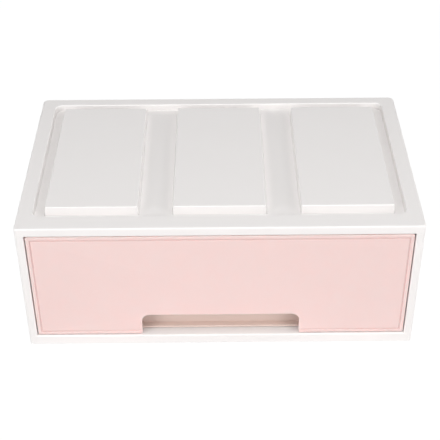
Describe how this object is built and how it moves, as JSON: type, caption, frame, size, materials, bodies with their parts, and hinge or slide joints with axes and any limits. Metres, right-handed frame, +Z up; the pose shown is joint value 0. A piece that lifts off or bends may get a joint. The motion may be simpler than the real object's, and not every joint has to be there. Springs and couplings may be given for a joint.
{
  "type": "stackable drawer box",
  "caption": "Stackable plastic drawer box: a case with raised pads on its lid and a matching pocket beneath, and a drawer with a clip-on front and a finger cut-out.",
  "frame": {"origin": "centre of the bottom of the bounding box, on the surface that the box stands on", "axes": "+X to the right as seen from the front, +Y from the front to the back, so the drawer opens along -Y, and +Z up"},
  "size_m": [0.33, 0.201, 0.1275],
  "materials": {
    "case_plastic": "fine satin white polypropylene, lightly textured",
    "tray_plastic": "fine satin white polypropylene",
    "front_plastic": "smooth semi-gloss pale pink plastic"
  },
  "bodies": {
    "case": {"top_cover": "case_plastic", "left_side_panel": "case_plastic", "right_side_panel": "case_plastic", "back_panel": "case_plastic", "base_panel": "case_plastic"},
    "drawer": {"drawer_tray": "tray_plastic", "drawer_front": "front_plastic"}
  },
  "joints": [
    {"name": "drawer_slide", "type": "slide", "parent": "case", "child": "drawer", "axis": [0, -1, 0], "range_m": [0, 0.15]}
  ]
}
